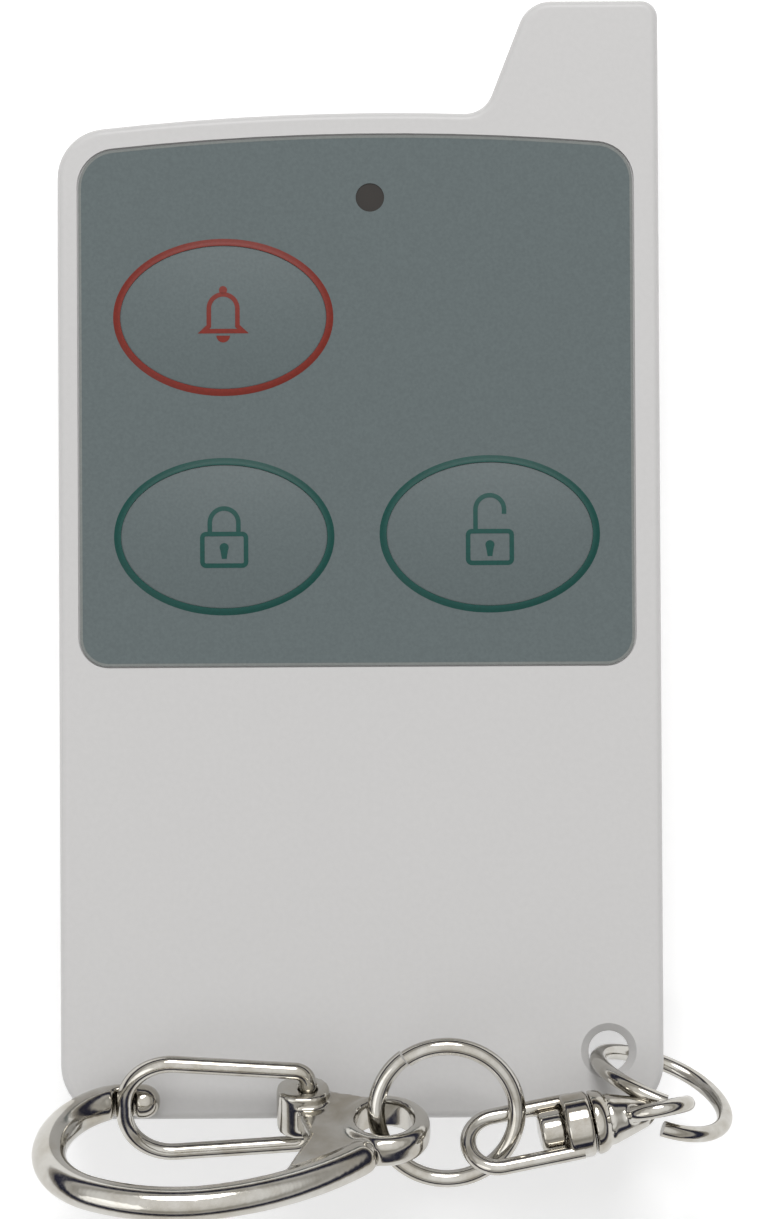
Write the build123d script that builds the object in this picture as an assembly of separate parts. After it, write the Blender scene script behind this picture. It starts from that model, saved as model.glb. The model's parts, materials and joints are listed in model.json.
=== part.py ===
"""Alarm key fob: a two-shell case with three press keys and a stub antenna, and a
swivel key chain with a wire-gate hook that is linked to its corner hole.

Millimetres. The fob lies on its back: +X right, +Y to the antenna stub, +Z out of
the face. The origin is the middle of the back face.
"""

import os
from math import asin, cos, degrees, radians, sin

from build123d import *

# Case
case_half_width = 20.0
case_bottom_y = -33.45
case_crown_y = 33.42
crown_centre_x = 1.6
crown_radius = 175.0
case_depth = 11.5
seam_z = 5.5
wall = 1.5
rear_floor = 1.4
front_floor = 1.5
bottom_corner_radius = 3.6
top_corner_radius = 3.3
front_edge_radius = 0.45
rear_edge_radius = 0.8
tongue_height = 0.9
tongue_inset = 0.8
tongue_clearance = 0.05

# Antenna stub
stub_top_y = 40.8
stub_top_width = 8.6
stub_root_width = 11.55
stub_outer_radius = 1.1
stub_inner_radius = 2.2
stub_root_radius = 1.93

# Corner lug with the chain hole
lug_from_side = 3.64
lug_from_bottom = 4.37
lug_hole_radius = 1.35
lug_depth = 2.2
lug_chamfer = 0.5
lug_pocket_radius = 5.2

# Overlay film in its recess
film_left_margin = 1.4
film_right_margin = 1.75
film_bottom_y = -3.4
film_crown_y = 31.9
film_thickness = 0.2
film_recess = 0.25
film_gap = 0.12
film_top_corner_radius = 2.5
film_bottom_corner_radius = 1.9

# Keys, all three alike
panic_y = 19.8
arm_y = 5.2
disarm_y = 5.3
key_margin = 2.75
key_gap = 3.95
key_half_width = 4.76
key_rim_height = 0.08
key_dome_height = 0.5
key_clearance = 0.05
pusher_inset = 0.1
pusher_flange = 0.35
pusher_flange_height = 0.4
pusher_headroom = 0.1

# Circuit board
board_below_wall = 4.8
board_thickness = 1.0
board_edge_gap = 0.3
board_lower_y = -9.6
board_upper_y = 31.0

# Tactile switches
switch_width = 6.0
switch_body_height = 3.2
switch_cover_height = 0.3
stem_radius = 1.7
stem_below_cover = 0.7
stem_clearance = 0.05
stem_sink = 0.5

# Status light and its window
light_x = 0.8
light_y = 27.75
window_radius = 0.95
window_flange_radius = 1.5
window_flange_height = 0.6
window_sink = 0.1
led_radius = 1.5
led_rim_radius = 1.9
led_rim_height = 0.8
led_height = 3.7

# Parts on the board
chip_x = 2.0
chip_y = 18.0
chip_length = 11.6
chip_width = 7.5
chip_floor_gap = 0.6
lead_pitch = 1.27
leads_per_side = 9
lead_width = 0.42
lead_reach = 1.45
lead_thickness = 0.25
saw_from_side = 10.5
saw_y = 19.5
saw_radius = 4.3
saw_rim_radius = 4.65
saw_rim_height = 0.5
saw_height = 3.2
saw_edge_chamfer = 0.35
transistor_from_saw = 6.3
transistor_y = 24.2
transistor_length = 2.9
transistor_width = 1.3
transistor_height = 1.0
passive_length = 2.0
passive_width = 1.25
passive_height = 0.55
passive_pitch = 2.6
passives_from_side = 3.8
passive_column_y = 12.2
passives_in_column = 4
passive_row_x = -3.9
passive_row_y = -5.6
passives_in_row = 5

# Helical antenna in the stub
coil_from_side = 5.0
coil_start_y = 31.9
coil_radius = 2.0
coil_wire_radius = 0.3
coil_pitch = 1.45
coil_half_turns = 9
coil_leg_length = 2.4

# Battery, its contacts and ribs
cell_y = -15.5
cell_play = 0.3
plus_end_room = 5.3
minus_end_room = 4.5
cell_nub_radius = 1.8
cell_nub_height = 0.8
cell_edge_chamfer = 0.4
contact_thickness = 0.3
contact_half_width = 3.0
contact_half_height = 2.5
contact_tab_width = 1.6
contact_tab_overlap = 1.4
leaf_rise = 1.7
leaf_cell_gap = 0.2
leaf_half_span = 2.4
rib_thickness = 1.0
rib_half_spacing = 4.9
rib_half_length = 10.0
rib_height = 4.2
rib_clearance = 0.05

# Battery cover on the back
cover_from_side = 3.6
cover_top_y = -8.35
cover_clearance = 0.1
cover_tongue = 0.8
cover_tongue_low_z = 0.5
cover_tongue_high_z = 1.0
grip_half_length = 6.0
grip_width = 0.6
grip_depth = 0.3
grip_pitch = 1.3
grip_first_y = -12.0
grip_count = 4

# Case screws and board posts
screw_from_side = 4.8
screw_y = -5.2
screw_radius = 1.0
screw_head_radius = 1.9
screw_head_height = 1.0
screw_head_chamfer = 0.35
screw_sink = 0.15
screw_tip_depth = 1.2
screw_clearance = 0.15
thread_clearance = 0.02
post_radius = 2.3
upper_post_from_left = 4.5
upper_post_from_right = 6.4
upper_post_y = 27.0
upper_post_radius = 1.3

# Ring in the corner hole. The chain's places are measured from that hole, at the face
fob_ring_x = 3.49
fob_ring_y = -2.52
fob_ring_z = -0.6
fob_ring_radius = 4.68
fob_ring_wire_radius = 0.54
fob_ring_heading_angle = -22.5
fob_ring_tilt_angle = 69.5
fob_ring_spread = 1.8
fob_ring_root_angle = 262.0
fob_ring_back_angle = 178.0
fob_ring_forward_angle = 176.0

# Swivel, along its own axis from the collar's middle
swivel_x = -2.182
swivel_y = -4.899
swivel_z = 4.2
swivel_rise_angle = 11.0
swivel_dip_angle = 5.0
collar_half_length = 0.9
collar_radius = 2.2
collar_edge_radius = 0.3
collar_bore_radius = 0.8
collar_recess_radius = 1.7
collar_recess_depth = 0.45
shank_radius = 0.74
rivet_radius = 1.35
rivet_height = 1.6
rivet_edge_radius = 0.35
swivel_gap = 0.08
shoulder_radius = 2.15
shoulder_length = 1.15
shoulder_edge_radius = 0.85
neck_length = 1.05
neck_end_radius = 0.62
eye_distance = 5.3
eye_radius = 2.1
eye_wire_radius = 0.55
eye_roll_angle = 0.0

# Stirrup, the bow that turns on the swivel's shank
bow_half_width = 1.97
bow_length = 7.35
bow_wire_radius = 0.54
bow_roll_angle = 31.0

# Link ring
link_x = -10.81
link_y = -3.97
link_z = 4.7
link_radius = 4.65
link_wire_radius = 0.58
link_tilt_angle = 18.7
link_spread = 0.45
link_root_angle = 305.75
link_half_angle = 178.75

# Hook, in its own plane: x along the fob's width, y from the spine to the gate
hook_x = -16.36
hook_y = -3.62
hook_z = 2.1
hook_lean_angle = 56.0
bar_radius = 1.17
nose_x = -14.5
nose_y = 0.82
nose_angle = 179.6
nose_run = 1.1
bend_radii = (3.52, 6.9, 6.67, 4.9, 5.1, 12.95, 19.5)
bend_angles = (34.0, 27.8, 26.6, 31.0, 36.1, 35.1, 32.7)
notch_x = -15.73
notch_half_width = 0.72
notch_floor_y = 0.64
hook_eye_x = 1.45
hook_eye_y = -2.75
hook_eye_radius = 3.05
hook_eye_hole_radius = 1.95
hook_eye_half_depth = 1.1
hook_eye_edge_radius = 0.7
web_half_depth = 0.85
web_points = (
    (-4.3, 1.4),
    (0.3, 0.1),
    (2.2, -5.0),
    (0.2, -6.3),
    (-5.4, -9.2),
    (-3.5, -4.2),
    (-4.3, -1.4),
)
pivot_x = -3.6
pivot_boss_x = -4.25
pivot_boss_radius = 1.45
pivot_boss_half_depth = 1.6

# Wire gate, in the plane across the hook through its pivot
gate_wire_radius = 0.56
gate_root_half_width = 2.85
gate_tip_half_width = 3.75
gate_tip_x = -15.73
gate_end_depth = 0.5
gate_root_bend_radius = 0.9
gate_tip_bend_radius = 3.1
gate_hole_clearance = 0.05

# Room for cuts to run out past the stock
cut_overrun = 1.0

lug_bottom_z = case_depth - lug_depth
recess_z = case_depth - film_recess
film_top_z = recess_z + film_thickness
front_ceiling_z = case_depth - front_floor
board_top_z = front_ceiling_z - board_below_wall
board_bottom_z = board_top_z - board_thickness
cover_top_z = board_top_z + switch_body_height + switch_cover_height
flange_top_z = front_ceiling_z - pusher_headroom
flange_low_z = flange_top_z - pusher_flange_height
screw_tip_z = front_ceiling_z - screw_tip_depth
chip_low_z = rear_floor + chip_floor_gap
saw_x = case_half_width - saw_from_side
transistor_x = saw_x - transistor_from_saw
lug_x = case_half_width - lug_from_side
lug_y = case_bottom_y + lug_from_bottom
stub_root_x = case_half_width - stub_root_width
stub_top_x = case_half_width - stub_top_width
film_left_x = film_left_margin - case_half_width
film_right_x = case_half_width - film_right_margin
key_half_length = (film_right_x - film_left_x - 2 * key_margin - key_gap) / 4
left_keys_x = film_left_x + key_margin + key_half_length
right_key_x = film_right_x - key_margin - key_half_length
screw_x = case_half_width - screw_from_side
cover_half_width = case_half_width - cover_from_side
cell_radius = (front_ceiling_z - rear_floor) / 2 - cell_play
cell_z = (front_ceiling_z + rear_floor) / 2
cell_left_x = wall + plus_end_room - case_half_width
cell_right_x = case_half_width - wall - minus_end_room
cell_body_length = cell_right_x - cell_left_x
both_sides = (-1, 1)


def nearest(shape, x, y):
    return min(shape.vertices(), key=lambda v: (v.X - x) ** 2 + (v.Y - y) ** 2)


def crowned_outline(left, right, bottom, crown):
    """Face with straight sides and the case's arched top edge."""

    def arch(x):
        return crown - (crown_radius - (crown_radius**2 - (x - crown_centre_x) ** 2) ** 0.5)

    middle = (left + right) / 2
    sides = Polyline((left, arch(left)), (left, bottom), (right, bottom), (right, arch(right)))
    top = ThreePointArc((right, arch(right)), (middle, arch(middle)), (left, arch(left)))
    return make_face(sides + top), arch


def case_outline():
    """Front view of the case with the stub on its right shoulder."""
    body, arch = crowned_outline(-case_half_width, case_half_width, case_bottom_y, case_crown_y)
    root_y = arch(stub_root_x)
    low_y = arch(case_half_width) - cut_overrun
    stub = make_face(
        Polyline(
            (stub_root_x, root_y),
            (stub_root_x, low_y),
            (case_half_width, low_y),
            (case_half_width, stub_top_y),
            (stub_top_x, stub_top_y),
            (stub_root_x, root_y),
        )
    )
    face = body + stub
    corners = (
        (-case_half_width, case_bottom_y, bottom_corner_radius),
        (case_half_width, case_bottom_y, bottom_corner_radius),
        (-case_half_width, arch(-case_half_width), top_corner_radius),
        (case_half_width, stub_top_y, stub_outer_radius),
        (stub_top_x, stub_top_y, stub_inner_radius),
        (stub_root_x, root_y, stub_root_radius),
    )
    for x, y, radius in corners:
        face = fillet(nearest(face, x, y), radius)
    return face


def inner_profile(inset):
    """The case outline moved inwards, clear of the corner lug's pocket."""
    pocket = Pos(lug_x, lug_y) * Circle(lug_pocket_radius + inset)
    return offset(case_outline(), amount=-inset) - pocket


def slab(face, low, high):
    return Pos(0, 0, low) * extrude(face, amount=high - low)


def box(x_low, x_high, y_low, y_high, z_low, z_high):
    sketch = Pos((x_low + x_high) / 2, (y_low + y_high) / 2) * Rectangle(x_high - x_low, y_high - y_low)
    return slab(sketch, z_low, z_high)


def rod(x, y, radius, low, high):
    return slab(Pos(x, y) * Circle(radius), low, high)


def case_block():
    """Outside of both shells as one solid, with the lug's pocket in its back."""
    block = extrude(case_outline(), amount=case_depth)
    block = fillet(block.faces().sort_by(Axis.Z)[-1].edges(), front_edge_radius)
    block = fillet(block.faces().sort_by(Axis.Z)[0].edges(), rear_edge_radius)
    pocket = rod(lug_x, lug_y, lug_pocket_radius, -cut_overrun, lug_bottom_z)
    return block - pocket


def half_space(low, high):
    span = case_half_width + cut_overrun
    return box(-span, span, case_bottom_y - cut_overrun, stub_top_y + cut_overrun, low, high)


def cover_blank(widen, low, high):
    """Footprint of the battery cover, open to the case's lower end."""
    half = cover_half_width + widen
    return box(-half, half, case_bottom_y - cut_overrun, cover_top_y + widen, low, high)


def screw_places():
    return [(side * screw_x, screw_y) for side in both_sides]


def upper_posts():
    left = upper_post_from_left - case_half_width
    right = case_half_width - upper_post_from_right
    return [(left, upper_post_y), (right, upper_post_y)]


def rear_shell():
    shell = case_block() & half_space(-cut_overrun, seam_z)
    shell -= slab(inner_profile(wall), rear_floor, seam_z)
    rim = inner_profile(tongue_inset) - inner_profile(wall)
    shell += slab(rim, seam_z - tongue_inset, seam_z + tongue_height)
    for x, y in screw_places():
        shell += rod(x, y, post_radius, rear_floor, board_bottom_z)
        shell -= rod(x, y, screw_radius + screw_clearance, -cut_overrun, board_bottom_z + cut_overrun)
        seat = screw_head_radius + screw_clearance
        shell -= rod(x, y, seat, -cut_overrun, screw_sink + screw_head_height)
    for x, y in upper_posts():
        shell += rod(x, y, upper_post_radius, rear_floor, board_bottom_z)
    shell -= cover_blank(cover_clearance, -cut_overrun, rear_floor + cover_clearance)
    reach = cover_half_width + cover_tongue + cover_clearance
    shell -= box(
        -reach,
        reach,
        case_bottom_y - cut_overrun,
        cover_top_y + cover_clearance,
        cover_tongue_low_z - cover_clearance,
        cover_tongue_high_z + cover_clearance,
    )
    return shell


def battery_cover():
    """Sliding cover: a plate flush with the back, on a tongue along each side."""
    plate = case_block() & cover_blank(0, -cut_overrun, rear_floor)
    reach = cover_half_width + cover_tongue
    tongues = box(-reach, reach, case_bottom_y, cover_top_y, cover_tongue_low_z, cover_tongue_high_z)
    plate += case_block() & tongues
    for n in range(grip_count):
        y = grip_first_y - n * grip_pitch
        plate -= box(-grip_half_length, grip_half_length, y - grip_width, y, -cut_overrun, grip_depth)
    return plate


def key_places():
    return {
        "panic": (left_keys_x, panic_y),
        "arm": (left_keys_x, arm_y),
        "disarm": (right_key_x, disarm_y),
    }


def film_outline(grow):
    face, arch = crowned_outline(
        film_left_x - grow, film_right_x + grow, film_bottom_y - grow, film_crown_y + grow
    )
    for x in (film_left_x - grow, film_right_x + grow):
        face = fillet(nearest(face, x, film_bottom_y), film_bottom_corner_radius + grow)
        face = fillet(nearest(face, x, arch(x)), film_top_corner_radius + grow)
    return face


def front_shell():
    shell = case_block() & half_space(seam_z, case_depth + cut_overrun)
    shell -= slab(inner_profile(wall), seam_z, front_ceiling_z)
    rebate = inner_profile(tongue_inset - tongue_clearance)
    shell -= slab(rebate, seam_z, seam_z + tongue_height + tongue_clearance)
    shell -= slab(film_outline(film_gap), recess_z, case_depth + cut_overrun)
    for x, y in key_places().values():
        hole = Pos(x, y) * Ellipse(key_half_length + key_clearance, key_half_width + key_clearance)
        shell -= slab(hole, front_ceiling_z - cut_overrun, case_depth)
    shell -= rod(light_x, light_y, window_radius, front_ceiling_z - cut_overrun, case_depth)
    for x, y in screw_places():
        shell += rod(x, y, post_radius, board_top_z, front_ceiling_z)
        shell -= rod(x, y, screw_radius + thread_clearance, board_top_z, screw_tip_z + tongue_clearance)
    for x, y in upper_posts():
        shell += rod(x, y, upper_post_radius, board_top_z, front_ceiling_z)
    shell += battery_ribs()
    return shell - lug_hole()


def lug_hole():
    """Hole of the chain ring, eased at both faces of the lug."""
    wide = lug_hole_radius + lug_chamfer
    hole = rod(lug_x, lug_y, lug_hole_radius, lug_bottom_z - cut_overrun, case_depth + cut_overrun)
    cone = Cone(lug_hole_radius, wide, lug_chamfer, align=(Align.CENTER, Align.CENTER, Align.MIN))
    hole += Pos(lug_x, lug_y, case_depth - lug_chamfer) * cone
    hole += Pos(lug_x, lug_y, lug_bottom_z + lug_chamfer) * Rot(X=180) * cone
    return hole


def cell_space(clearance):
    length = cell_body_length + cell_nub_height + cut_overrun
    middle = cell_left_x + cell_body_length / 2
    return Pos(middle, cell_y, cell_z) * Rot(Y=90) * Cylinder(cell_radius + clearance, length)


def battery_ribs():
    """Two ribs under the face that stand beside the battery."""
    ribs = Part()
    for side in both_sides:
        y = cell_y + side * rib_half_spacing
        ribs += box(
            -rib_half_length,
            rib_half_length,
            y - rib_thickness / 2,
            y + rib_thickness / 2,
            front_ceiling_z - rib_height,
            front_ceiling_z,
        )
    return ribs - cell_space(rib_clearance)


def overlay_film():
    """Printed film, cut out round the keys and the status light."""
    film = slab(film_outline(0), recess_z, film_top_z)
    for x, y in key_places().values():
        hole = Pos(x, y) * Ellipse(key_half_length + key_clearance, key_half_width + key_clearance)
        film -= slab(hole, recess_z - cut_overrun, case_depth)
    return film - rod(light_x, light_y, window_radius, recess_z - cut_overrun, case_depth)


def key(x, y):
    """Embossed key top: a shallow oval dome on a low rim."""
    rim = key_rim_height + film_thickness
    sphere_radius = (key_half_length**2 + key_dome_height**2) / (2 * key_dome_height)
    ball = Pos(0, 0, rim + key_dome_height - sphere_radius) * Sphere(sphere_radius)
    dome = ball & slab(Circle(key_half_length), 0, rim + key_dome_height)
    return Pos(x, y, recess_z) * scale(dome, by=(1, key_half_width / key_half_length, 1))


def pusher(x, y):
    """Moulded pusher under a key, held in by a flange under the front wall."""
    half_length = key_half_length - pusher_inset
    half_width = key_half_width - pusher_inset
    body = slab(Pos(x, y) * Ellipse(half_length, half_width), flange_low_z, recess_z)
    flange = Ellipse(key_half_length + pusher_flange, key_half_width + pusher_flange)
    return body + slab(Pos(x, y) * flange, flange_low_z, flange_top_z)


def stem(x, y):
    return rod(x, y, stem_radius, cover_top_z - stem_below_cover, flange_low_z)


def switch_body(x, y):
    """Base of a tactile switch with the well that its stem sinks into."""
    half = switch_width / 2
    top = board_top_z + switch_body_height
    body = box(x - half, x + half, y - half, y + half, board_top_z, top)
    well_floor = cover_top_z - stem_below_cover - stem_sink
    return body - rod(x, y, stem_radius + stem_clearance, well_floor, top + cut_overrun)


def switch_cover(x, y):
    half = switch_width / 2
    low = board_top_z + switch_body_height
    plate = box(x - half, x + half, y - half, y + half, low, cover_top_z)
    return plate - rod(x, y, stem_radius + stem_clearance, low - cut_overrun, cover_top_z + cut_overrun)


def circuit_board():
    """Board that fills the case above the battery, drilled for the screws."""
    room = inner_profile(wall + board_edge_gap)
    span = case_half_width + cut_overrun
    limits = box(-span, span, board_lower_y, board_upper_y, board_bottom_z, board_top_z)
    board = slab(room, board_bottom_z, board_top_z) & limits
    for x, y in screw_places():
        board -= rod(x, y, screw_radius + screw_clearance, board_bottom_z, board_top_z)
    return board


def led_window():
    """Light pipe pressed up into the hole in the front wall."""
    pipe = rod(light_x, light_y, window_radius, front_ceiling_z, film_top_z - window_sink)
    low = front_ceiling_z - window_flange_height
    return pipe + rod(light_x, light_y, window_flange_radius, low, front_ceiling_z)


def status_led():
    base = rod(light_x, light_y, led_rim_radius, board_top_z, board_top_z + led_rim_height)
    shoulder = board_top_z + led_height - led_radius
    lens = rod(light_x, light_y, led_radius, board_top_z, shoulder)
    return base + lens + Pos(light_x, light_y, shoulder) * Sphere(led_radius)


def encoder_chip():
    half_length = chip_length / 2
    half_width = chip_width / 2
    return box(
        chip_x - half_length,
        chip_x + half_length,
        chip_y - half_width,
        chip_y + half_width,
        chip_low_z,
        board_bottom_z - lead_thickness,
    )


def encoder_leads():
    """Gull-wing leads down both long sides of the chip."""
    edge = chip_width / 2
    bend = edge + lead_reach / 2
    tip = edge + lead_reach
    foot = lead_thickness / 2
    start = (board_bottom_z - chip_low_z) / 2
    line = Polyline((edge, -start), (bend, -start), (bend, -foot), (tip, -foot))
    profile = trace(line, lead_thickness)
    leads = []
    for side in both_sides:
        turn = 0 if side > 0 else 180
        for n in range(leads_per_side):
            x = (n - (leads_per_side - 1) / 2) * lead_pitch
            bar = extrude(Plane.YZ * profile, amount=lead_width / 2, both=True)
            leads.append(Pos(chip_x, chip_y, board_bottom_z) * Rot(Z=turn) * Pos(x, 0, 0) * bar)
    return Compound(children=leads)


def saw_resonator():
    rim = rod(saw_x, saw_y, saw_rim_radius, board_top_z, board_top_z + saw_rim_height)
    can = rod(saw_x, saw_y, saw_radius, board_top_z, board_top_z + saw_height)
    return rim + chamfer(can.faces().sort_by(Axis.Z)[-1].edges(), saw_edge_chamfer)


def chip_on_board(x, y, length, width, height):
    half_length = length / 2
    half_width = width / 2
    top = board_top_z + height
    return box(x - half_length, x + half_length, y - half_width, y + half_width, board_top_z, top)


def rf_transistor():
    return chip_on_board(
        transistor_x, transistor_y, transistor_length, transistor_width, transistor_height
    )


def chip_passives():
    """Chip resistors and capacitors, one column beside the resonator and one row."""
    column_x = case_half_width - passives_from_side
    places = [(column_x, passive_column_y + n * passive_pitch) for n in range(passives_in_column)]
    places += [(passive_row_x + n * passive_pitch, passive_row_y) for n in range(passives_in_row)]
    size = (passive_length, passive_width, passive_height)
    return Compound(children=[chip_on_board(x, y, *size) for x, y in places])


def antenna_coil():
    """Wire wound in the stub by half turns that lean to climb, with a leg down to the board."""
    climb = asin(coil_pitch / (4 * coil_radius))
    section = Plane.XZ * Pos(coil_radius, 0) * Circle(coil_wire_radius)
    half_turn = Rot(X=degrees(climb)) * Rot(Z=-90) * revolve(section, Axis.Z, revolution_arc=180)
    leg = Cylinder(
        coil_wire_radius, coil_leg_length, align=(Align.CENTER, Align.CENTER, Align.MAX)
    )
    start = Pos(coil_radius * cos(climb), 0, -coil_radius * sin(climb))
    coil = start * (leg + Sphere(coil_wire_radius))
    for n in range(coil_half_turns):
        coil += Pos(0, 0, n * coil_pitch / 2) * Rot(Z=90 + 180 * n) * half_turn
    lie_along_y = Plane(
        origin=(case_half_width - coil_from_side, coil_start_y, board_top_z + coil_wire_radius),
        x_dir=(1, 0, 0),
        z_dir=(0, 1, 0),
    )
    return lie_along_y * coil


def battery_cell():
    """12 V cell lying across the lower half, its nub to the left."""
    can = Rot(Y=90) * Cylinder(
        cell_radius, cell_body_length, align=(Align.CENTER, Align.CENTER, Align.MIN)
    )
    can = chamfer(can.edges().filter_by(GeomType.CIRCLE), cell_edge_chamfer)
    nub = Rot(Y=-90) * Cylinder(
        cell_nub_radius, cell_nub_height, align=(Align.CENTER, Align.CENTER, Align.MIN)
    )
    return Pos(cell_left_x, cell_y, cell_z) * (can + nub)


def battery_plus_contact():
    """Flat contact plate with a tab soldered on the board."""
    right = cell_left_x - cell_nub_height
    left = right - contact_thickness
    low = cell_y - contact_half_width
    bottom = cell_z - contact_half_height
    top = cell_z + contact_half_height
    plate = box(left, right, low, board_lower_y, bottom, top)
    tab_x = left - contact_tab_width
    tab_y = board_lower_y + contact_tab_overlap
    return plate + box(tab_x, right, board_lower_y, tab_y, board_top_z, board_top_z + contact_thickness)


def battery_minus_contact():
    """Bowed leaf spring behind the cell's flat end, with the same kind of tab."""
    front_x = cell_right_x + leaf_cell_gap
    leaf_back_x = front_x + leaf_rise
    leaf = Spline(
        (leaf_back_x, cell_y - leaf_half_span),
        (front_x, cell_y),
        (leaf_back_x, cell_y + leaf_half_span),
    )
    tail = Line((leaf_back_x, cell_y + leaf_half_span), (leaf_back_x, board_lower_y))
    strip = trace(leaf, contact_thickness) + trace(tail, contact_thickness)
    spring = slab(strip, cell_z - contact_half_height, cell_z + contact_half_height)
    back = leaf_back_x - contact_thickness / 2
    tab_y = board_lower_y + contact_tab_overlap
    tab_top = board_top_z + contact_thickness
    tab = box(back, back + contact_tab_width, board_lower_y, tab_y, board_top_z, tab_top)
    return spring + tab


def case_screw(x, y):
    head = rod(x, y, screw_head_radius, screw_sink, screw_sink + screw_head_height)
    head = chamfer(head.faces().sort_by(Axis.Z)[0].edges(), screw_head_chamfer)
    return head + rod(x, y, screw_radius, screw_sink, screw_tip_z)


def from_lug(x, y, z):
    """Point at this distance from the lug's hole in the face."""
    return Vector(lug_x + x, lug_y + y, case_depth + z)


def jump_ring(radius, wire_radius, root, back, forward, spread):
    """Round wire bent about Z both ways from its root, leaning so that the ends stand apart."""
    lean = degrees(asin(spread / (4 * radius)))
    section = Plane.XZ * Pos(radius, 0) * Circle(wire_radius)
    ring = Part()
    for turn, tilt in ((-back, -lean), (forward, lean)):
        half = revolve(section, Axis.Z, revolution_arc=turn)
        ring += Pos(radius, 0, 0) * Rot(Y=tilt) * Pos(-radius, 0, 0) * half
    return Rot(Z=root) * ring


def fob_ring():
    """Open ring through the corner hole."""
    heading = radians(fob_ring_heading_angle)
    tilt = radians(fob_ring_tilt_angle)
    along = Vector(cos(heading), sin(heading), 0)
    across = Vector(sin(heading), -cos(heading), 0)
    frame = Plane(
        origin=from_lug(fob_ring_x, fob_ring_y, fob_ring_z),
        x_dir=along,
        z_dir=across * sin(tilt) - Vector(0, 0, cos(tilt)),
    )
    return frame * jump_ring(
        fob_ring_radius,
        fob_ring_wire_radius,
        fob_ring_root_angle,
        fob_ring_back_angle,
        fob_ring_forward_angle,
        fob_ring_spread,
    )


def swivel_frame(roll):
    """Frame of the swivel: Z along its axis towards the eye, X turned by roll from upright."""
    rise = radians(swivel_rise_angle)
    dip = radians(swivel_dip_angle)
    axis = Vector(cos(rise) * cos(dip), sin(rise) * cos(dip), -sin(dip))
    upright = (Vector(0, 0, 1) - axis * axis.Z).normalized()
    level = upright.cross(axis)
    turn = radians(roll)
    return Plane(
        origin=from_lug(swivel_x, swivel_y, swivel_z),
        x_dir=upright * cos(turn) + level * sin(turn),
        z_dir=axis,
    )


def swivel_eye():
    """Eye, neck and shoulder in one, with the shank riveted through the collar."""
    top = collar_half_length + swivel_gap
    shank = slab(Circle(shank_radius), -top, top)
    rivet = slab(Circle(rivet_radius), -top - rivet_height, -top)
    rivet = fillet(rivet.faces().sort_by(Axis.Z)[0].edges(), rivet_edge_radius)
    shoulder = slab(Circle(shoulder_radius), top, top + shoulder_length)
    shoulder = fillet(shoulder.faces().sort_by(Axis.Z)[-1].edges(), shoulder_edge_radius)
    neck = Pos(0, 0, top + shoulder_length) * Cone(
        shoulder_radius - shoulder_edge_radius,
        neck_end_radius,
        neck_length,
        align=(Align.CENTER, Align.CENTER, Align.MIN),
    )
    eye = Pos(0, 0, eye_distance) * Rot(X=90) * Torus(eye_radius, eye_wire_radius)
    return swivel_frame(eye_roll_angle) * (shank + rivet + shoulder + neck + eye)


def swivel_stirrup():
    """Collar with a wire bow, turning on the swivel's shank."""
    collar = slab(Circle(collar_radius), -collar_half_length, collar_half_length)
    collar = fillet(collar.edges().filter_by(GeomType.CIRCLE), collar_edge_radius)
    arm_end = bow_length - bow_half_width
    path = (
        Line((bow_half_width, 0), (bow_half_width, -arm_end))
        + ThreePointArc(
            (bow_half_width, -arm_end), (0, -bow_length), (-bow_half_width, -arm_end)
        )
        + Line((-bow_half_width, -arm_end), (-bow_half_width, 0))
    )
    path = Plane.XZ * path
    section = Plane(origin=path @ 0, z_dir=path % 0) * Circle(bow_wire_radius)
    bow = sweep(section, path=path)
    recess_low = -collar_half_length
    recess = slab(Circle(collar_recess_radius), recess_low, recess_low + collar_recess_depth)
    bore = slab(Circle(collar_bore_radius), -collar_half_length, collar_half_length)
    return swivel_frame(bow_roll_angle - 90) * (collar + bow - recess - bore)


def link_ring():
    """Jump ring between the stirrup and the hook."""
    frame = Plane(
        origin=from_lug(link_x, link_y, link_z),
        x_dir=(1, 0, 0),
        z_dir=(0, -sin(radians(link_tilt_angle)), cos(radians(link_tilt_angle))),
    )
    return frame * jump_ring(
        link_radius, link_wire_radius, link_root_angle, link_half_angle, link_half_angle, link_spread
    )


def hook_frame():
    """Frame of the hook: X along the fob's width, Y from the spine to the gate."""
    lean = radians(hook_lean_angle)
    return Plane(
        origin=from_lug(hook_x, hook_y, hook_z), x_dir=(1, 0, 0), z_dir=(0, sin(lean), cos(lean))
    )


def hook_bar():
    """Round bar from the nose round the left end and along the spine, by radius and angle of bend."""
    runs = [PolarLine((nose_x, nose_y), nose_run, nose_angle)]
    for radius, angle in zip(bend_radii, bend_angles):
        runs.append(JernArc(runs[-1] @ 1, runs[-1] % 1, radius, angle))
    section = Plane(origin=runs[0] @ 0, z_dir=runs[0] % 0) * Circle(bar_radius)
    bar = sweep(section, path=Curve() + runs)
    nose = Pos(nose_x, nose_y) * Sphere(bar_radius)
    return bar + nose + Pos(runs[-1] @ 1) * Sphere(bar_radius)


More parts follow.
